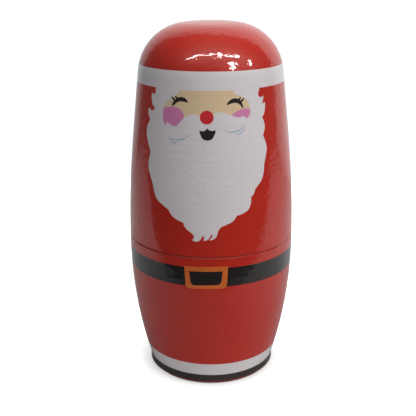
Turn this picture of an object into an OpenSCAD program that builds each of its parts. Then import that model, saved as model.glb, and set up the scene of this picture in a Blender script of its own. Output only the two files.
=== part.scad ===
// Set of turned wooden nesting dolls, in millimetres, +Z up.
// Every doll is the same barrel outline at a smaller size. Each one but the smallest is hollow and
// parts at a seam: a spigot on the bottom half plugs into a socket in the top half. The origin is
// the middle of the face that the largest doll stands on.

/* [Outline of the largest doll] */
// Height from the base to the top of the crown
height = 140; // [120:1:170]
// Radius at the widest point of the belly
belly_r = 32.75; // [29:0.25:38]
// Height of the widest point of the belly
belly_z = 54; // [46:1:62]
// Radius of the straight foot
foot_r = 25.6; // [22:0.1:28]
// Height of the straight foot
foot_h = 4; // [2.5:0.1:6]
// Width of the bevel round the base
base_bevel = 1.3; // [0.5:0.1:2]
// Radius of the arc that curves the body in above the belly
upper_arc_r = 400; // [320:5:500]
// Lean of the straight flank below the shoulder, in degrees
flank_lean = 6; // [4:0.1:7.5]
// Radius of the shoulder that turns the flank over into the crown
shoulder_r = 19.5; // [14:0.1:22]
// Radius of the shallow dome on top
dome_r = 120; // [95:1:160]

/* [Shell of the largest doll] */
// Thickness of the turned wall
wall = 4.2; // [3.4:0.1:5.5]
// Thickness of the floor
floor_t = 7; // [5:0.1:10]
// Thickness of the crown
crown_t = 9; // [6:0.1:13]
// How far the flat of the floor runs out past the base of the doll that stands on it
floor_spare = 0.3; // [0:0.1:1]
// Radius where the wall turns into the ceiling, inside
ceiling_fillet_r = 14; // [9:0.1:17]

/* [Seam of the largest doll] */
// Height of the seam between the halves
seam_z = 57; // [50:0.5:66]
// Height of the spigot above the seam
spigot_h = 8; // [5:0.1:11]
// Thickness of the spigot
spigot_t = 2.1; // [1.4:0.1:2.6]
// Width of the bevel that leads the spigot into its socket
spigot_bevel = 0.7; // [0.3:0.1:1.1]
// Width of the bevel on the two outer rims, which shows as a fine groove
rim_bevel = 0.3; // [0.1:0.05:0.6]
// Depth of the socket past the end of the spigot
socket_spare = 1; // [0.4:0.1:2]

/* [Set] */
// How many dolls there are, the solid one included
doll_count = 6; // [2:1:8]
// Clearance round the belly of the doll inside the largest one
nest_gap = 2.7; // [1.8:0.1:4]
// Radial clearance of every spigot in its socket
fit_gap = 0.12; // [0.06:0.01:0.25]
// Clearance between every rim and its seat, and under every inner doll
seat_gap = 0.2; // [0.1:0.05:0.4]

/* [Hidden] */
$fn = 128;
// Longest step along an arc, in degrees
arc_step = 2;
// How far every cut runs past the face that it opens
overrun = 1;
lacquer_red = [0.62, 0.11, 0.10];
lacquer_dark = [0.50, 0.09, 0.09];
bare_wood = [0.80, 0.66, 0.46];

// Each doll's belly fills the cavity round it less the clearance, which sets how fast they shrink
nest_share = (belly_r - wall - nest_gap) / belly_r;
// Size of one doll as a share of the largest, and the height of its base
function size_share(k) = pow(nest_share, k - 1);
function base_z(k) = k == 1 ? 0 : base_z(k - 1) + floor_t * size_share(k - 1) + seat_gap;

// Points of an arc after its first one, which is where the stretch before it ends
function arc(centre, r, from, to) =
    let (steps = max(1, ceil(abs(to - from) / arc_step)))
    [for (i = [1 : steps]) let (a = from + (to - from) * i / steps) centre + r * [cos(a), sin(a)]];
function bearing(v) = atan2(v.y, v.x);

// Both belly arcs are upright at the widest point, and the lower one runs down to the foot
belly_in = belly_r - foot_r;
belly_down = belly_z - foot_h;
lower_arc_r = (belly_in * belly_in + belly_down * belly_down) / (2 * belly_in);
lower_c = [belly_r - lower_arc_r, belly_z];
upper_c = [belly_r - upper_arc_r, belly_z];
dome_c = [0, height - dome_r];
flank_out = [cos(flank_lean), sin(flank_lean)];
flank_up = [-sin(flank_lean), cos(flank_lean)];

// Centre of the arc of radius r that meets both the flank, set in by skin, and the dome, set in by cap
function turn_c(r, skin, cap) =
    let (
        reach = dome_r - cap - r,
        start = upper_c + (upper_arc_r - skin - r) * flank_out - dome_c,
        along = start * flank_up
    )
    dome_c + start + (sqrt(along * along - start * start + reach * reach) - along) * flank_up;

// Outline from just above the belly to the top, set in by skin on the flank and by cap on the dome
function upper_points(r, skin, cap) =
    let (c = turn_c(r, skin, cap), meet = bearing(c - dome_c))
    concat(
        arc(upper_c, upper_arc_r - skin, 0, flank_lean),
        [c + r * flank_out],
        arc(c, r, flank_lean, meet),
        arc(dome_c, dome_r - cap, meet, 90)
    );

outside_points = concat(
    [[0, 0], [foot_r - base_bevel, 0], [foot_r, base_bevel], [foot_r, foot_h]],
    arc(lower_c, lower_arc_r, bearing([foot_r, foot_h] - lower_c), 0),
    upper_points(shoulder_r, 0, 0)
);

// The corner of the floor starts outside the base that stands on it, and its fillet touches both the
// floor and the inside of the lower belly arc
seat_r = nest_share * (foot_r - base_bevel) + floor_spare;
inner_arc_r = lower_arc_r - wall;
seat_from_c = [seat_r, floor_t] - lower_c;
floor_fillet_r = (inner_arc_r * inner_arc_r - seat_from_c * seat_from_c)
    / (2 * (inner_arc_r + seat_from_c.y));
corner_c = [seat_r, floor_t + floor_fillet_r];
corner_end = bearing(corner_c - lower_c);
cavity_points = concat(
    [[-overrun, height - crown_t], [-overrun, floor_t], [corner_c.x, floor_t]],
    arc(corner_c, floor_fillet_r, -90, corner_end),
    arc(lower_c, inner_arc_r, corner_end, 0),
    upper_points(ceiling_fillet_r, wall, crown_t)
);

// Radius of the largest doll at its seam, and of its spigot
seam_c = seam_z < belly_z ? lower_c : upper_c;
seam_arc_r = seam_z < belly_z ? lower_arc_r : upper_arc_r;
seam_r = seam_c.x + sqrt(pow(seam_arc_r, 2) - pow(seam_z - belly_z, 2));
spigot_r = seam_r - wall + spigot_t;

// Section of the spigot and of the wall that it stands up from, with its leading edge bevelled
module spigot(share) {
    r = share * spigot_r;
    end_z = share * (seam_z + spigot_h);
    bevel = share * spigot_bevel;
    root_z = share * (seam_z - wall);
    polygon([[0, root_z], [r, root_z], [r, end_z - bevel], [r - bevel, end_z], [0, end_z]]);
}

// Everything below the seam plane, or above it, that a rim with a bevelled edge leaves
module rim_side(r, h, bevel) {
    side = sign(h);
    far = r + overrun;
    polygon([[0, h], [far, h], [far, side * (overrun + bevel)], [r - bevel, 0], [0, 0]]);
}

module outside(share) {
    polygon(share * outside_points);
}

module cavity(share) {
    polygon(share * cavity_points);
}

// Bottom half: foot, lower belly and the spigot that stands up out of the rim
module bottom_half(k) {
    share = size_share(k);
    color(lacquer_red)
        translate([0, 0, base_z(k)])
        rotate_extrude()
        difference() {
            union() {
                intersection() {
                    outside(share);
                    translate([0, share * seam_z])
                        rim_side(share * seam_r, -share * seam_z, rim_bevel * share);
                }
                spigot(share);
            }
            cavity(share);
        }
}

// Top half: upper belly, flank and crown over a socket that slips down on the spigot
module top_half(k) {
    share = size_share(k);
    rim_z = share * seam_z + seat_gap;
    color(lacquer_dark)
        translate([0, 0, base_z(k)])
        rotate_extrude()
        difference() {
            intersection() {
                outside(share);
                translate([0, rim_z])
                    rim_side(share * seam_r, share * height - rim_z + overrun, rim_bevel * share);
            }
            cavity(share);
            translate([-overrun, rim_z - overrun])
                square([
                    overrun + share * spigot_r + fit_gap,
                    overrun + share * (spigot_h + socket_spare)
                ]);
        }
}

// Smallest doll: the same outline, turned in one piece with nothing inside
module solid_doll(k) {
    color(bare_wood)
        translate([0, 0, base_z(k)])
        rotate_extrude()
        outside(size_share(k));
}

for (k = [1 : doll_count - 1]) {
    bottom_half(k);
    top_half(k);
}
solid_doll(doll_count);
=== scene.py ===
import bisect
import math

import bpy
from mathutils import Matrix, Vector
from mathutils.geometry import delaunay_2d_cdt
from mathutils.kdtree import KDTree


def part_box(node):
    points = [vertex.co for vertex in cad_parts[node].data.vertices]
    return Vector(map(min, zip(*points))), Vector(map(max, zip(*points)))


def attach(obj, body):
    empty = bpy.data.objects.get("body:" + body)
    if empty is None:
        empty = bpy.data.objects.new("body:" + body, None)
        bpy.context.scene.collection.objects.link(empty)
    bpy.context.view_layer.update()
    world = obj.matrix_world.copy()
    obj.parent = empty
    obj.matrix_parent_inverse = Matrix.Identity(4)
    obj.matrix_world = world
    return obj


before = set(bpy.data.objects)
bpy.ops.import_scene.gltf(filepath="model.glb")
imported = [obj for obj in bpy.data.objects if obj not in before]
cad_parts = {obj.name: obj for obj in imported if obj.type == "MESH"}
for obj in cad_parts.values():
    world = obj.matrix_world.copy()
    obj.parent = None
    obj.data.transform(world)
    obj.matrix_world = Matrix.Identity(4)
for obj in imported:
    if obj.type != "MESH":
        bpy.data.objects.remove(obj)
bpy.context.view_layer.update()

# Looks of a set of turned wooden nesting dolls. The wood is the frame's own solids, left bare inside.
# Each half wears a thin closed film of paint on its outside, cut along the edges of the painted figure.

MM = 0.001
SHELLS = range(1, 6)
SOLID = "doll_6_solid"
LARGEST_WIDTH = (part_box("doll_1_bottom")[1].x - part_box("doll_1_bottom")[0].x) / MM


def add_object(name, data):
    """A new object in the scene."""
    made = bpy.data.objects.new(name, data)
    bpy.context.scene.collection.objects.link(made)
    return made


# Design of the painted figure

# Places are degrees round from the middle of the front, to the right as it is looked at, and millimetres
# up from the base, in the sizes of the largest doll
HALF_TURN = 180.0
FUR = (118.4, 124.85)
BELT = (45.55, 53.15)
HEM = (4.4, 9.95)
FOOT_RED_TOP = 1.6

# A smooth run goes through its points, and runs meet at corners
BEARD = [
    [(-41.0, 120.0), (-41.0, 118.0)],
    [(-40.8, 116.8), (-42.0, 115.8), (-44.6, 116.3)],
    [(-45.0, 114.5), (-43.5, 112.0)],
    [(-41.3, 111.2), (-41.5, 110.4), (-44.0, 109.9), (-47.5, 110.8)],
    [(-47.8, 108.8), (-45.2, 106.3)],
    [(-47.5, 104.7), (-48.4, 102.3), (-47.5, 99.5), (-42.8, 94.8)],
    [(-44.4, 91.0), (-43.7, 88.0), (-39.2, 83.0)],
    [(-37.7, 80.3), (-34.7, 77.5), (-25.7, 74.6)],
    [(-23.0, 72.5), (-19.4, 71.3), (-14.6, 70.3)],
    [(-14.3, 69.3), (-12.4, 67.9), (-9.0, 66.5), (-7.6, 65.2), (-8.8, 63.9)],
    [(-6.3, 63.45), (-4.0, 63.9), (-2.8, 64.8), (-1.8, 66.0)],
    [(-1.0, 65.0), (-1.7, 64.0)],
    [(0.5, 64.1), (2.4, 65.0), (3.9, 66.7)],
    [(4.2, 65.5), (2.2, 64.1)],
    [(4.7, 64.4), (6.8, 65.4), (8.0, 67.6)],
    [(9.8, 69.0), (12.6, 69.7), (17.6, 71.0), (20.4, 73.0)],
    [(24.2, 73.5), (28.5, 74.8), (30.4, 77.0), (30.7, 79.4)],
    [(32.9, 80.5), (34.0, 82.2)],
    [(36.3, 83.3), (39.6, 85.2), (41.6, 88.0), (42.1, 90.6)],
    [(43.7, 93.0), (45.3, 96.3), (44.4, 98.9), (42.5, 101.2)],
    [(44.5, 104.0), (44.0, 106.2), (42.5, 107.8)],
    [(45.2, 109.7), (46.2, 113.1)],
    [(44.5, 112.8), (42.9, 112.3)],
    [(44.3, 114.0), (44.8, 115.4)],
    [(42.0, 115.0), (40.2, 115.6), (40.0, 116.6), (41.3, 118.2)],
    [(41.3, 120.0)],
    [(-41.0, 120.0)],
]
SKIN = [
    [(-19.0, 118.3), (19.2, 118.3)],
    [(21.4, 116.8), (25.4, 116.1), (28.9, 115.1), (31.6, 113.5), (32.5, 111.1)],
    [(28.0, 110.5), (17.0, 109.6)],
    [(13.9, 110.4), (11.4, 110.8), (8.0, 110.7), (5.0, 110.2)],
    [(0.6, 109.0), (-4.0, 109.5)],
    [(-6.7, 109.9), (-10.0, 110.0), (-12.8, 109.5), (-15.6, 108.7)],
    [(-25.0, 109.5), (-32.3, 111.8)],
    [(-30.0, 113.5), (-26.4, 114.9), (-22.1, 116.3), (-19.0, 118.3)],
]
LEFT_CHEEK = [
    [(-29.8, 105.0), (-32.0, 107.1), (-32.6, 109.6), (-31.7, 111.5), (-27.0, 112.1), (-21.3, 112.2),
     (-17.3, 110.8), (-15.4, 109.1), (-18.2, 107.1), (-22.0, 105.4), (-26.0, 106.0), (-29.0, 106.8)],
    [(-29.8, 105.0)],
]
RIGHT_CHEEK = [
    [(18.0, 109.8), (21.2, 110.8), (25.1, 111.5), (29.4, 111.7), (32.2, 111.1), (32.4, 109.9),
     (30.8, 108.7), (29.0, 108.2), (27.1, 109.1), (23.7, 108.7), (20.4, 109.1), (18.0, 109.8)],
]
LEFT_EYE = [
    [(-25.3, 112.7), (-23.6, 114.5), (-18.7, 115.9), (-14.7, 115.4), (-12.5, 114.0)],
    [(-14.9, 114.2), (-18.6, 114.3), (-21.6, 113.7), (-24.3, 112.4)],
    [(-25.3, 112.7)],
]
RIGHT_EYE = [
    [(14.6, 113.6), (17.4, 115.0), (21.2, 115.5), (25.2, 114.6), (27.1, 112.0)],
    [(26.3, 111.9), (24.0, 113.3), (21.1, 113.9), (18.0, 113.7), (15.0, 113.2)],
    [(14.6, 113.6)],
]
MOUTH = [
    [(-4.6, 104.4), (-1.9, 104.2), (0.0, 104.6), (1.0, 105.3)],
    [(2.2, 104.6), (4.4, 104.3), (6.9, 104.6)],
    [(6.0, 102.9), (4.2, 101.4), (1.1, 100.85), (-2.0, 101.4), (-3.7, 102.9), (-4.6, 104.4)],
]
NOSE_PLACE = (0.6, 109.0)
NOSE_R = 2.45
LASH_WIDTH = 0.7
LASHES = [
    [(-25.8, 115.9), (-24.0, 115.0), (-22.0, 114.4)],
    [(-23.1, 116.2), (-21.7, 115.5), (-19.8, 115.0)],
    [(25.1, 115.9), (24.3, 115.1), (23.2, 114.5)],
    [(27.7, 115.5), (26.7, 114.8), (25.0, 114.0)],
]
WHISKER_WIDTH = 0.7
WHISKERS = [
    [(-27.2, 101.9), (-24.4, 101.0), (-19.7, 100.7), (-15.3, 101.3), (-10.4, 103.0)],
    [(-26.6, 100.8), (-23.9, 99.8), (-20.0, 99.5)],
    [(12.5, 104.6), (15.5, 103.8), (19.0, 103.6), (23.5, 104.2), (27.8, 105.9)],
    [(20.8, 102.7), (24.5, 103.1), (27.8, 104.6)],
]
BUCKLE = [
    [(-14.4, 53.5), (14.5, 53.7)],
    [(13.9, 46.8)],
    [(13.3, 45.4), (11.2, 44.8)],
    [(-11.2, 44.5)],
    [(-13.2, 45.0), (-13.8, 46.4)],
    [(-14.4, 53.5)],
]
BUCKLE_HOLE = [
    [(-11.1, 51.6), (10.9, 51.8)],
    [(10.3, 48.2)],
    [(9.7, 46.9), (7.9, 46.3)],
    [(-8.0, 46.0)],
    [(-9.8, 46.5), (-10.4, 47.9)],
    [(-11.1, 51.6)],
]


# Shader nodes

def fill(tree, shader_node, **inputs):
    """Sets inputs of a shader node by name or, as in i0, by number, and links those given a socket."""
    for name, value in inputs.items():
        key = int(name[1:]) if name[1:].isdigit() else name.replace("_", " ")
        socket = shader_node.inputs[key]
        if isinstance(value, bpy.types.NodeSocket):
            tree.links.new(value, socket)
        else:
            socket.default_value = value


def node(tree, kind, **inputs):
    """A new shader node with some of its inputs filled."""
    made = tree.nodes.new(kind)
    fill(tree, made, **inputs)
    return made


def combined(tree, operation, one, other):
    """The number that an operation makes of two."""
    made = node(tree, "ShaderNodeMath", i0=one, i1=other)
    made.operation = operation
    return made.outputs[0]


def vector_node(tree, operation, one, other):
    made = node(tree, "ShaderNodeVectorMath", i0=one, i1=other)
    made.operation = operation
    return made


def multiplied(tree, one, other):
    """Two vectors, or a number and a vector, multiplied axis by axis."""
    return vector_node(tree, "MULTIPLY", one, other).outputs["Vector"]


def along(tree, vector, way):
    """How far a vector goes in a direction."""
    return vector_node(tree, "DOT_PRODUCT", vector, way).outputs["Value"]


def past_both(tree, vector, one_way, other_way):
    """How far a vector goes past the nearer of two edges, each given by the direction square to it."""
    return combined(tree, "MINIMUM", along(tree, vector, one_way), along(tree, vector, other_way))


def distance(tree, vector, place):
    return vector_node(tree, "DISTANCE", vector, place).outputs["Value"]


def spread(tree, value, within, to=(0.0, 1.0)):
    """A value moved from one range to another, and kept inside it."""
    made = node(tree, "ShaderNodeMapRange", i0=value, i1=within[0], i2=within[1], i3=to[0], i4=to[1])
    return made.outputs[0]


def blend_values(tree, factor, one, other):
    return node(tree, "ShaderNodeMix", i0=factor, i2=one, i3=other).outputs[0]


def with_alpha(colour):
    return (*colour, 1) if isinstance(colour, tuple) else colour


def tinted(tree, factor, one, other):
    """A mix of two colours, each a triple or a socket, which are inputs 6 and 7 of the node."""
    made = node(tree, "ShaderNodeMix", i0=factor)
    made.data_type = "RGBA"
    fill(tree, made, i6=with_alpha(one), i7=with_alpha(other))
    return made.outputs[2]


def light_path(tree, *kinds):
    """1 for rays of the given kinds, and 0 for others."""
    rays = node(tree, "ShaderNodeLightPath")
    total = rays.outputs[kinds[0]]
    for kind in kinds[1:]:
        total = combined(tree, "MAXIMUM", total, rays.outputs[kind])
    return total


def stretched_noise(tree, places, stretch, detail):
    """Noise in the piece's own place, with so many features to the metre along each axis."""
    scaled = multiplied(tree, places, stretch)
    return node(tree, "ShaderNodeTexNoise", Vector=scaled, Scale=1.0, Detail=detail).outputs[0]


def relief(tree, height, depth, strength=1.0):
    """Node that bends the normals as a relief of a depth would."""
    return node(tree, "ShaderNodeBump", Strength=strength, Distance=depth, Height=height)


def stacked(tree, below, above):
    """Normals of one relief with another on it."""
    fill(tree, above, Normal=below.outputs[0])
    return above.outputs[0]


# Materials

# Noises: features to the metre along each axis, and detail
CLOUDS = ((45.0, 45.0, 70.0), 3.0)
BRUSH_LINES = ((18.0, 18.0, 1500.0), 2.0)
RIPPLE = ((420.0, 420.0, 560.0), 1.5)
CHIPS = ((700.0, 700.0, 300.0), 2.0)
LATHE_LINES = ((14.0, 14.0, 2600.0), 2.0)
WOOD_FIBRES = ((1100.0, 1100.0, 45.0), 3.0)
# Range that one noise mostly keeps to, and the sum of two
NOISE_RANGE = (0.3, 0.7)
STREAK_RANGE = (0.7, 1.3)

# Paint under its coat of lacquer
CHIP_EDGE = (0.66, 0.72)
BRUSH_DEPTH = 0.010 * MM
RIPPLE_DEPTH = 0.12 * MM
PAINT_ROUGHNESS = (0.34, 0.46)
PAINT_SPECULAR = 0.15
COAT_WEIGHT = 0.6
COAT_IOR = 1.7
COAT_ROUGHNESS = 0.05

# Bare wood, with the scale of its growth rings, how far they wander and how far off their middle lies
WOOD_LIGHT = (0.62, 0.46, 0.28)
WOOD_DARK = (0.52, 0.36, 0.195)
RING_SCALE = 210.0 / math.tau
RING_WANDER = 9.0
RING_DETAIL = 3.0
RING_DETAIL_SCALE = 1.4
RING_TONE = (0.0, 0.3)
FROM_PITH = (0.021, 0.034, 0.0)
GRAIN_RANGE = (0.3, 0.95)
PORE_DEPTH = 0.05 * MM
PORE_STRENGTH = 0.6
TOOL_DEPTH = 0.05 * MM
TOOL_STRENGTH = 0.8
WOOD_ROUGHNESS = (0.55, 0.72)
WOOD_SPECULAR = 0.3


def new_material(name):
    material = bpy.data.materials.new(name)
    material.use_nodes = True
    tree = material.node_tree
    return material, tree, tree.nodes["Principled BSDF"]


def own_place(tree):
    """Place on a piece in its own frame."""
    return node(tree, "ShaderNodeTexCoord").outputs["Object"]


def shade(colour, by):
    return tuple(c * by for c in colour)


def paint(name, colour, clouds=0.08, chipped=False):
    """Brushed paint under clear lacquer, with its ripple and brush lines, and chips on worn edges."""
    material, tree, shader = new_material(name)
    places = own_place(tree)
    cloud = stretched_noise(tree, places, *CLOUDS)
    lines = stretched_noise(tree, places, *BRUSH_LINES)
    ripple = stretched_noise(tree, places, *RIPPLE)
    streak = spread(tree, combined(tree, "ADD", cloud, lines), STREAK_RANGE)
    base = tinted(tree, streak, shade(colour, 1 - clouds), shade(colour, 1 + clouds))
    if chipped:
        chips = stretched_noise(tree, places, *CHIPS)
        base = tinted(tree, spread(tree, chips, CHIP_EDGE), base, WOOD_LIGHT)
    normals = stacked(tree, relief(tree, ripple, RIPPLE_DEPTH), relief(tree, lines, BRUSH_DEPTH))
    fill(
        tree, shader, Base_Color=base, Roughness=spread(tree, cloud, NOISE_RANGE, PAINT_ROUGHNESS),
        Normal=normals, Coat_Normal=normals, Specular_IOR_Level=PAINT_SPECULAR,
        Coat_Weight=COAT_WEIGHT, Coat_IOR=COAT_IOR, Coat_Roughness=COAT_ROUGHNESS,
    )
    return material


def bare_wood():
    """Turned limewood: growth rings about an axis off the lathe's, fibres along it and tool lines."""
    material, tree, shader = new_material("bare_wood")
    places = own_place(tree)
    rings = node(
        tree, "ShaderNodeTexWave", Vector=vector_node(tree, "ADD", places, FROM_PITH).outputs["Vector"],
        Scale=RING_SCALE, Distortion=RING_WANDER, Detail=RING_DETAIL, Detail_Scale=RING_DETAIL_SCALE,
    )
    rings.wave_type = "RINGS"
    rings.rings_direction = "Z"
    fibres = stretched_noise(tree, places, *WOOD_FIBRES)
    lines = stretched_noise(tree, places, *LATHE_LINES)
    ring_tone = spread(tree, rings.outputs["Fac"], (0.0, 1.0), RING_TONE)
    grain = spread(tree, combined(tree, "ADD", ring_tone, fibres), GRAIN_RANGE)
    pores = relief(tree, fibres, PORE_DEPTH, PORE_STRENGTH)
    grooves = relief(tree, lines, TOOL_DEPTH, TOOL_STRENGTH)
    fill(
        tree, shader, Base_Color=tinted(tree, grain, WOOD_LIGHT, WOOD_DARK),
        Roughness=spread(tree, fibres, NOISE_RANGE, WOOD_ROUGHNESS),
        Normal=stacked(tree, pores, grooves), Specular_IOR_Level=WOOD_SPECULAR,
    )
    return material


PAINTS = [
    paint("lacquer_red", (0.43, 0.018, 0.008), clouds=0.05),
    paint("paint_white", (0.643, 0.605, 0.62), clouds=0.03),
    paint("paint_black", (0.014, 0.011, 0.011), clouds=0.2),
    paint("paint_skin", (0.645, 0.49, 0.303), clouds=0.04),
    paint("paint_pink", (0.585, 0.198, 0.382), clouds=0.05),
    paint("paint_nose_red", (0.52, 0.018, 0.026)),
    paint("paint_pale_blue", (0.39, 0.45, 0.52)),
    paint("paint_gold", (0.54, 0.117, 0.021)),
    # Darker red on the bevels at the seam: painted shade in the seam, with real chips of wear
    paint("lacquer_seam_shade_and_chips", (0.34, 0.014, 0.007), chipped=True),
    paint("paint_foot", (0.030, 0.024, 0.023), clouds=0.2),
    paint("lacquer_foot", (0.22, 0.033, 0.024)),
]
# Place of each paint in that list
(
    RED, WHITE, BLACK, SKIN_TONE, PINK, NOSE_RED, PALE_BLUE, GOLD, SEAM_SHADE_RED, FOOT_BLACK, FOOT_RED,
) = range(len(PAINTS))
WOOD = bare_wood()


# Turned outline of one half, and its paint film

# How far the painted face of a film and its back stand off the wood
FILM_FACE = 0.10 * MM
FILM_BACK = 0.02 * MM
# Steps of the film's mesh: columns round the doll, and millimetres up it and along painted edges
COLUMNS = 96
ROW_STEP = 3.0
CURVE_STEP = 0.5
LINE_STEP = 2.0
# How far the grid keeps off painted edges, and its last row off the top of the crown
KEEP_OFF = 0.9
APEX_RING = 1.5
# Cosine of the turn from which two stretches of an outline meet in a crease
CREASE = math.cos(math.radians(8))
# Least share of its normal by which a painted face of the wood looks outwards
OUTWARD = 0.01
# How far to look from a crease along the outline, and the share of it that tells one side from the other
LOOK = 1.0
NUDGE = 0.01
# Power of the sine that gives a brush stroke its width
STROKE_TAPER = 0.6
# Lengths under this count as none
NEAR = 1e-4
# Decimals that tell the rings of the wood apart, and the points down the sides of a sheet
RING_DECIMALS = 2
SIDE_DECIMALS = 3
# Kind of triangulation that fills the whole sheet
WHOLE_SHEET = 0
# Normal that leaves a corner's shading to its faces
NO_NORMAL = (0, 0, 0)


class Outline:
    """Outline of a half, from its bottom up: radius and height in the sizes of the largest doll."""

    def __init__(self, points):
        self.points = [Vector(p) for p in points]
        self.heights = [p.y for p in self.points]
        self.along = [0.0]
        normals = []
        for low, high in zip(self.points, self.points[1:]):
            step = high - low
            self.along.append(self.along[-1] + step.length)
            normals.append(Vector((step.y, -step.x)).normalized())
        self.ends = [[n.copy(), n.copy()] for n in normals]
        for i, (below, above) in enumerate(zip(normals, normals[1:])):
            if below.dot(above) > CREASE:
                between = (below + above).normalized()
                self.ends[i][1] = between
                self.ends[i + 1][0] = between

    def part(self, scale, value):
        """Which stretch holds a value of a rising scale, and how far along it the value is."""
        i = min(max(bisect.bisect_right(scale, value) - 1, 0), len(scale) - 2)
        return i, (value - scale[i]) / (scale[i + 1] - scale[i])

    def way(self, height):
        """Distance along the outline at a height."""
        i, share = self.part(self.heights, height)
        return self.along[i] + share * (self.along[i + 1] - self.along[i])

    def spot(self, way):
        """Radius and height at a distance along the outline."""
        i, share = self.part(self.along, way)
        return self.points[i].lerp(self.points[i + 1], share)

    def normal(self, way, towards):
        """Normal at a distance along the outline, on the side of a crease that lies towards another."""
        i, _ = self.part(self.along, way + NUDGE * (towards - way))
        share = (way - self.along[i]) / (self.along[i + 1] - self.along[i])
        return self.ends[i][0].lerp(self.ends[i][1], share).normalized()

    def lift(self, way):
        """Direction in which the film stands off, which splits the angle at a crease."""
        before = self.normal(way, max(way - LOOK, 0))
        after = self.normal(way, min(way + LOOK, self.along[-1]))
        return (before + after).normalized()


class Doll:
    """Where one doll stands in the frame, and its size as a share of the largest."""

    def __init__(self, lowest_node):
        low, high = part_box(lowest_node)
        self.base = low.z
        self.unit = (high.x - low.x) / LARGEST_WIDTH

    def outline(self, node_name, below=math.inf):
        """Outline of a node's outer face, from faces that look outwards and lie under a height."""
        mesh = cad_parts[node_name].data
        rings = {}
        for face in mesh.polygons:
            corners = [mesh.vertices[i].co for i in face.vertices]
            outward = face.normal.xy.dot(face.center.xy) > OUTWARD * face.center.xy.length
            if outward and all(c.z < below for c in corners):
                rings.update({round(c.z / MM, RING_DECIMALS): c for c in corners})
        rows = sorted(rings.values(), key=lambda c: c.z)
        return Outline([(c.xy.length / self.unit, (c.z - self.base) / self.unit) for c in rows])

    def place(self, degrees, spot, lift, off):
        """Point in the frame at an angle round the doll and a spot of its outline, off its wood."""
        r = spot.x * self.unit + lift.x * off
        angle = math.radians(degrees)
        height = max(self.base + spot.y * self.unit + lift.y * off, self.base)
        return r * math.sin(angle), -r * math.cos(angle), height


def turned(degrees, normal):
    """An outline's normal, turned to an angle round the doll."""
    angle = math.radians(degrees)
    return normal.x * math.sin(angle), -normal.x * math.cos(angle), normal.y


def bend(points):
    """A smooth curve through some points of the flat sheet."""
    curve = [points[0]]
    for i in range(len(points) - 1):
        a, b = points[i], points[i + 1]
        before = points[i - 1] if i else a
        after = points[i + 2] if i + 2 < len(points) else b
        steps = max(1, math.ceil((b - a).length / (CURVE_STEP if len(points) > 2 else LINE_STEP)))
        for s in range(1, steps + 1):
            t = s / steps
            pull = (b - before) * t * (1 - t) ** 2 / 2 - (after - a) * t * t * (1 - t) / 2
            curve.append(a.lerp(b, t * t * (3 - 2 * t)) + pull)
    return curve


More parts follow.
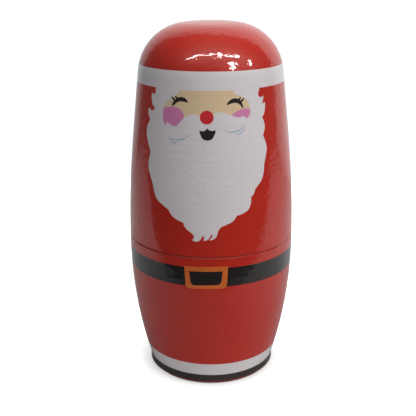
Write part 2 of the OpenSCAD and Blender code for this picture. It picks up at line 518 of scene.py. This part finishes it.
class Sheet:
    """An outline unrolled flat, in millimetres, with the painted areas that it holds."""

    def __init__(self, outline):
        self.outline = outline
        self.closed = outline.points[-1].x < NEAR
        self.end = outline.along[-1] - (APEX_RING if self.closed else 0)
        self.half = math.radians(HALF_TURN) * LARGEST_WIDTH / 2
        self.areas = []

    def flat(self, place):
        degrees, height = place
        return Vector((self.half * degrees / HALF_TURN, self.outline.way(height)))

    def degrees(self, x):
        return HALF_TURN * x / self.half

    def holds(self, heights):
        low, high = self.outline.heights[0] - NEAR, self.outline.heights[-1] + NEAR
        return min(heights) > low and max(heights) < high

    def add(self, paint, points):
        """Adds an area, with its points in the order that the triangles need."""
        turns = sum(a.cross(b) for a, b in zip(points, points[1:] + points[:1]))
        self.areas.append((paint, points if turns > 0 else points[::-1]))

    def runs(self, paint, runs):
        """A closed outline of smooth runs, where each run goes on from the end of the one before."""
        if not self.holds([p[1] for run in runs for p in run]):
            return
        points = []
        for run in runs:
            places = [self.flat(p) for p in run]
            points += bend(points[-1:] + places)[len(points[-1:]):]
        closes = (points[0] - points[-1]).length < NEAR
        self.add(paint, points[:-1] if closes else points)

    def band(self, paint, low, high):
        """A band all the way round."""
        if not self.holds([low, high]):
            return
        angles = [HALF_TURN * (2 * i / COLUMNS - 1) for i in range(COLUMNS + 1)]
        lower = [self.flat((a, low)) for a in angles]
        upper = [self.flat((a, high)) for a in reversed(angles)]
        self.add(paint, lower + upper)

    def squeeze(self, height):
        """How much wider the flat sheet is than the wood at a height."""
        return LARGEST_WIDTH / 2 / self.outline.spot(self.outline.way(height)).x

    def stroke(self, paint, places, width):
        """A brush stroke that thins out to nothing at both ends."""
        if not self.holds([p[1] for p in places]):
            return
        wide = self.squeeze(places[0][1])
        spine = [Vector((p.x / wide, p.y)) for p in bend([self.flat(p) for p in places])]
        sides = [[], []]
        for i in range(1, len(spine) - 1):
            run = (spine[i + 1] - spine[i - 1]).normalized()
            half = width / 2 * math.sin(math.pi * i / (len(spine) - 1)) ** STROKE_TAPER
            across = half * Vector((-run.y, run.x))
            sides[0].append(spine[i] - across)
            sides[1].append(spine[i] + across)
        points = [spine[0]] + sides[0] + [spine[-1]] + sides[1][::-1]
        self.add(paint, [Vector((p.x * wide, p.y)) for p in points])

    def disc(self, paint, place, r):
        if not self.holds([place[1] - r, place[1] + r]):
            return
        centre = self.flat(place)
        wide = self.squeeze(place[1])
        count = math.ceil(math.tau * r / CURVE_STEP)
        angles = [math.tau * i / count for i in range(count)]
        self.add(paint, [centre + r * Vector((wide * math.cos(a), math.sin(a))) for a in angles])

    def grid(self, edges):
        """Points all over the sheet that keep off some others."""
        taken = KDTree(max(len(edges), 1))
        for i, p in enumerate(edges):
            taken.insert(p.to_3d(), i)
        taken.balance()
        rows = max(1, round(self.end / ROW_STEP))
        points = [
            Vector((self.half * (2 * c / COLUMNS - 1), self.end * row / rows))
            for row in range(rows + 1)
            for c in range(COLUMNS + 1)
        ]
        return [p for p in points if not edges or taken.find(p.to_3d())[2] > KEEP_OFF]

    def triangles(self):
        """Points, triangles and each triangle's paint. A later area covers those before it."""
        edges = [p for _, area in self.areas for p in area]
        faces = []
        for _, area in self.areas:
            first = faces[-1][-1] + 1 if faces else 0
            faces.append(list(range(first, first + len(area))))
        points, _, triangles, _, _, owners = delaunay_2d_cdt(
            edges + self.grid(edges), [], faces, WHOLE_SHEET, NEAR, True
        )
        paints = [self.areas[max(inside)][0] if inside else RED for inside in owners]
        return points, triangles, paints


def figure(sheet):
    """Lays the painted figure out on a sheet. What the sheet doesn't reach is left off."""
    sheet.band(WHITE, *HEM)
    sheet.band(BLACK, *BELT)
    sheet.runs(GOLD, BUCKLE)
    sheet.runs(BLACK, BUCKLE_HOLE)
    sheet.band(WHITE, *FUR)
    sheet.runs(WHITE, BEARD)
    sheet.runs(SKIN_TONE, SKIN)
    sheet.runs(PINK, LEFT_CHEEK)
    sheet.runs(PINK, RIGHT_CHEEK)
    sheet.runs(BLACK, LEFT_EYE)
    sheet.runs(BLACK, RIGHT_EYE)
    for lash in LASHES:
        sheet.stroke(BLACK, lash, LASH_WIDTH)
    sheet.runs(BLACK, MOUTH)
    sheet.disc(NOSE_RED, NOSE_PLACE, NOSE_R)
    for whisker in WHISKERS:
        sheet.stroke(PALE_BLUE, whisker, WHISKER_WIDTH)


class Film:
    """Builds the closed film: its painted face, its back on the wood and its edges."""

    def __init__(self, doll, sheet):
        self.doll = doll
        self.sheet = sheet
        self.outline = sheet.outline
        self.verts = []
        self.faces = []
        self.paints = []
        self.normals = []

    def vert(self, degrees, way, off):
        spot = self.outline.spot(way)
        self.verts.append(self.doll.place(degrees, spot, self.outline.lift(way), off))
        return len(self.verts) - 1

    def face(self, corners, paint, normals):
        self.faces.append(corners)
        self.paints.append(paint)
        self.normals += normals

    def numbers(self, flat):
        """Makes the painted face's vertices, where the sheet's right edge shares those of its left."""
        left, right = NEAR - self.sheet.half, self.sheet.half - NEAR
        at_left = {round(p.y, SIDE_DECIMALS): i for i, p in enumerate(flat) if p.x < left}
        number = {}
        for i, p in enumerate(flat):
            if p.x < right:
                number[i] = self.vert(self.sheet.degrees(p.x), p.y, FILM_FACE)
        for i, p in enumerate(flat):
            if i not in number:
                number[i] = number[at_left[round(p.y, SIDE_DECIMALS)]]
        return number

    def front(self):
        """The painted face. Returns its first and last row of vertices."""
        flat, triangles, paints = self.sheet.triangles()
        number = self.numbers(flat)
        for corners, paint in zip(triangles, paints):
            middle = sum(flat[i].y for i in corners) / len(corners)
            normals = [
                turned(self.sheet.degrees(flat[i].x), self.outline.normal(flat[i].y, middle))
                for i in corners
            ]
            self.face([number[i] for i in corners], paint, normals)
        inside = sorted((p.x, i) for i, p in enumerate(flat) if p.x < self.sheet.half - NEAR)
        first = [number[i] for _, i in inside if flat[i].y < NEAR]
        last = [number[i] for _, i in inside if flat[i].y > self.sheet.end - NEAR]
        return first, last

    def ring(self, way, off):
        angles = [HALF_TURN * (2 * i / COLUMNS - 1) for i in range(COLUMNS)]
        return [self.vert(a, way, off) for a in angles]

    def strip(self, low, high, paint=RED):
        """Quads between two rows of vertices, seen with the first row below the second."""
        for i in range(COLUMNS):
            j = (i + 1) % COLUMNS
            corners = [low[i], low[j], high[j], high[i]]
            self.face(corners, paint, [NO_NORMAL] * len(corners))

    def fan(self, row, off, up):
        """Closes a row of vertices at the top of the doll, with faces that look up (1) or down (-1)."""
        top = self.vert(0, self.outline.along[-1], off)
        for i in range(COLUMNS):
            corners = [row[i], row[(i + 1) % COLUMNS], top]
            self.face(corners[::up], RED, [(0, 0, up)] * len(corners))

    def shell(self):
        """Makes all faces of the film."""
        first, last = self.front()
        edge_paint = self.paints[0]
        ways = self.outline.along[:-1] if self.sheet.closed else self.outline.along
        rings = [self.ring(way, FILM_BACK) for way in ways]
        for low, high in zip(rings, rings[1:]):
            self.strip(high, low)
        self.strip(rings[0], first, edge_paint)
        if self.sheet.closed:
            self.fan(last, FILM_FACE, 1)
            self.fan(rings[-1], FILM_BACK, -1)
        else:
            self.strip(last, rings[-1], edge_paint)

    def build(self, name):
        self.shell()
        mesh = bpy.data.meshes.new(name)
        mesh.from_pydata(self.verts, [], self.faces, shade_flat=False)
        for paint in PAINTS:
            mesh.materials.append(paint)
        mesh.polygons.foreach_set("material_index", self.paints)
        mesh.normals_split_custom_set(self.normals)
        mesh.update()
        return add_object(name, mesh)


# The dolls

def paint_foot(sheet):
    """Paints the foot, with an edge of the paint along each crease of the outline."""
    base, bevel_top, foot_top = sheet.outline.heights[:3]
    sheet.band(FOOT_RED, base, bevel_top)
    sheet.band(FOOT_RED, bevel_top, FOOT_RED_TOP)
    sheet.band(FOOT_BLACK, FOOT_RED_TOP, foot_top)
    sheet.band(FOOT_BLACK, foot_top, HEM[0])


def wear_film(doll, node_name, sheet):
    """Puts the figure on a sheet, and the sheet on the wood as a film of paint."""
    figure(sheet)
    film = Film(doll, sheet).build(node_name + "_paint")
    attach(film, node_name)


def dress_shell(k):
    """Paints both halves of a hollow doll, with the bevels at the seam in a darker red that paints the
    seam's shade, chipped by wear.
    """
    bottom, top = f"doll_{k}_bottom", f"doll_{k}_top"
    shell = Doll(bottom)
    lower = Sheet(shell.outline(bottom, below=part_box(top)[0].z))
    paint_foot(lower)
    lower.band(SEAM_SHADE_RED, *lower.outline.heights[-2:])
    wear_film(shell, bottom, lower)
    upper = Sheet(shell.outline(top))
    upper.band(SEAM_SHADE_RED, *upper.outline.heights[:2])
    wear_film(shell, top, upper)


def dress_solid():
    """Paints the smallest doll."""
    smallest = Doll(SOLID)
    whole = Sheet(smallest.outline(SOLID))
    paint_foot(whole)
    wear_film(smallest, SOLID, whole)


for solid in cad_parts.values():
    solid.data.materials.clear()
    solid.data.materials.append(WOOD)
for k in SHELLS:
    dress_shell(k)
dress_solid()


# Camera

# Angle round to the right of the front, place, and the point that it looks at
CAMERA_ANGLE = math.radians(3.4)
CAMERA_AWAY = 299.5 * MM
CAMERA_UP = 163.2 * MM
AIM_UP = 66.0 * MM
AIM_LEFT = 1.2 * MM
ROLL = math.radians(0.2)
LENS = 67.15


def facing(thing, target):
    """Turns a camera or lamp to look at a point."""
    thing.rotation_euler = (target - thing.location).to_track_quat("-Z", "Y").to_euler()


def set_camera():
    sight = Vector((math.sin(CAMERA_ANGLE), -math.cos(CAMERA_ANGLE), 0))
    leftward = Vector((-math.cos(CAMERA_ANGLE), -math.sin(CAMERA_ANGLE), 0))
    camera = add_object("camera", bpy.data.cameras.new("camera"))
    camera.data.lens = LENS
    camera.location = sight * CAMERA_AWAY + Vector((0, 0, CAMERA_UP))
    facing(camera, leftward * AIM_LEFT + Vector((0, 0, AIM_UP)))
    camera.rotation_euler.rotate_axis("Z", -ROLL)
    bpy.context.scene.camera = camera


set_camera()


# Lamps

# Points that they face: the middle of the doll, and the front of the hat
MIDDLE = Vector((0, 0, 75 * MM))
HAT = Vector((0, -24 * MM, 130 * MM))
WARM = (1.0, 0.965, 0.945)
# Each lamp's name, direction, width and height, and radiance. Soft lamps light all but the gloss
SOFT_AWAY = 0.8
SOFT_LAMPS = [
    ("key", (0.75, -0.45, 0.55), (0.5, 0.5), 4.4),
    ("front", (0.05, -0.60, 0.80), (0.5, 0.5), 1.65),
    ("overhead", (0.1, -0.1, 1.0), (0.7, 0.7), 2.4),
    ("rear", (-0.1, 0.9, 0.45), (0.5, 0.5), 2.4),
]
# Only the gloss shows these, as the bright marks on the hat
GLOSS_AWAY = 0.6
GLOSS_LAMPS = [
    ("hat_tube", (0.09, -0.55, 0.85), (0.95, 0.045), 36.0),
    ("hat_panel", (0.603, -0.667, 0.50), (0.075, 0.14), 32.0),
    ("side_panel", (0.88, -0.24, 0.47), (0.05, 0.14), 32.0),
]


def lamp(name, centre, way, away, size, radiance, glossy):
    """A flat lamp that faces a point from a direction, for the gloss alone or for all but the gloss."""
    light = bpy.data.lights.new(name, "AREA")
    light.shape = "RECTANGLE"
    light.size, light.size_y = size
    light.energy = radiance * math.pi * size[0] * size[1]
    light.color = WARM
    thing = add_object(name, light)
    thing.location = centre + Vector(way).normalized() * away
    facing(thing, centre)
    thing.visible_camera = False
    thing.visible_glossy = glossy
    thing.visible_diffuse = not glossy


for name, way, size, radiance in SOFT_LAMPS:
    lamp(name, MIDDLE, way, SOFT_AWAY, size, radiance, glossy=False)
for name, way, size, radiance in GLOSS_LAMPS:
    lamp(name, HAT, way, GLOSS_AWAY, size, radiance, glossy=True)


# Surroundings

SEEN_RAYS = ("Is Camera Ray", "Is Transmission Ray")
GLOSS_RAYS = ("Is Glossy Ray",)
NEUTRAL = (0.95, 0.95, 0.94)
# Strength of the white that the camera sees, and of the cool light from all round
BACKDROP = 1.2
AMBIENT = 0.17
AMBIENT_TINT = (0.86, 0.97, 1.10)
# What the gloss shows: dim all round, with a white screen behind the doll. Two upright edges bound the
# screen, and it is brightest towards its upper right
DIM = 0.12
SCREEN_LEFT = (0.33, 1.0, 0.0)
SCREEN_RIGHT = (-0.11, 1.0, 0.0)
SCREEN_EDGE = (0.30, 0.38)
SCREEN_RISE = (0.34, 0.66, 0.36)
SCREEN = (0.24, 1.24)


def surround():
    """The world: white to the camera, cool light on the paint, and a screen in the gloss."""
    world = bpy.data.worlds.new("studio")
    bpy.context.scene.world = world
    world.use_nodes = True
    tree = world.node_tree
    towards = node(tree, "ShaderNodeTexCoord").outputs["Generated"]
    on_screen = spread(tree, past_both(tree, towards, SCREEN_LEFT, SCREEN_RIGHT), SCREEN_EDGE)
    screen = spread(tree, along(tree, towards, SCREEN_RISE), (0.0, 1.0), SCREEN)
    mirrored = combined(tree, "ADD", combined(tree, "MULTIPLY", on_screen, screen), DIM)
    glossy = light_path(tree, *GLOSS_RAYS)
    unseen = blend_values(tree, glossy, AMBIENT, mirrored)
    fill(
        tree, tree.nodes["Background"], Color=tinted(tree, glossy, AMBIENT_TINT, NEUTRAL),
        Strength=blend_values(tree, light_path(tree, *SEEN_RAYS), unseen, BACKDROP),
    )


surround()


# Floor

# It ends close behind the doll, so that the gloss shows the screen there
FLOOR_SIDE = 0.7
FLOOR_BACK = 0.28
FLOOR_ROUGHNESS = 0.9
# Tone that the camera sees, and a glow that is weaker close round the foot, which paints shade on the
# floor there
FLOOR_SEEN = 0.50
FLOOR_GLOW = (0.50, 1.0)
FLOOR_GLOW_REACH = (0.025, 0.035)
# Tone that lights the doll from below, near it and further off
FLOOR_BOUNCE = (0.88, 0.16)
FLOOR_BOUNCE_REACH = (0.06, 0.22)
# Tone that the gloss shows: in the shade in front of the doll, and out of it
SHADE_PLACE = (0.0, -0.06, 0.0)
FLOOR_IN_GLOSS = (0.2, 0.72)
FLOOR_IN_GLOSS_REACH = (0.03, 0.20)
# Two edges end the floor in front for the gloss, with this share of the tone past them
FLOOR_LEFT = (0.25, 1.0, 0.0)
FLOOR_RIGHT = (-0.25, 1.0, 0.0)
FLOOR_EDGE = (-0.12, -0.105)
PAST_EDGE_SHARE = 0.05


def white_sweep():
    """Matt white, with a tone for each kind of ray."""
    material, tree, shader = new_material("white_sweep")
    places = own_place(tree)
    away = distance(tree, places, (0, 0, 0))
    tone = spread(tree, distance(tree, places, SHADE_PLACE), FLOOR_IN_GLOSS_REACH, FLOOR_IN_GLOSS)
    inside = past_both(tree, places, FLOOR_LEFT, FLOOR_RIGHT)
    on_floor = spread(tree, inside, FLOOR_EDGE, (PAST_EDGE_SHARE, 1.0))
    mirrored = combined(tree, "MULTIPLY", tone, on_floor)
    bounced = spread(tree, away, FLOOR_BOUNCE_REACH, FLOOR_BOUNCE)
    unseen = blend_values(tree, light_path(tree, *GLOSS_RAYS), bounced, mirrored)
    seen = light_path(tree, *SEEN_RAYS)
    # Less glow close round the foot: painted shade on the floor round it
    glow = spread(tree, away, FLOOR_GLOW_REACH, FLOOR_GLOW)
    fill(
        tree, shader, Base_Color=multiplied(tree, blend_values(tree, seen, unseen, FLOOR_SEEN), NEUTRAL),
        Roughness=FLOOR_ROUGHNESS, Specular_IOR_Level=0.0,
        Emission_Color=(1, 1, 1, 1), Emission_Strength=blend_values(tree, seen, 0.0, glow),
    )
    return material


def lay_floor():
    mesh = bpy.data.meshes.new("floor")
    corners = [
        (-FLOOR_SIDE, -FLOOR_SIDE, 0), (FLOOR_SIDE, -FLOOR_SIDE, 0),
        (FLOOR_SIDE, FLOOR_BACK, 0), (-FLOOR_SIDE, FLOOR_BACK, 0),
    ]
    mesh.from_pydata(corners, [], [(0, 1, 2, 3)])
    mesh.materials.append(white_sweep())
    floor = add_object("floor", mesh)


lay_floor()

bpy.context.scene.view_settings.view_transform = "Standard"
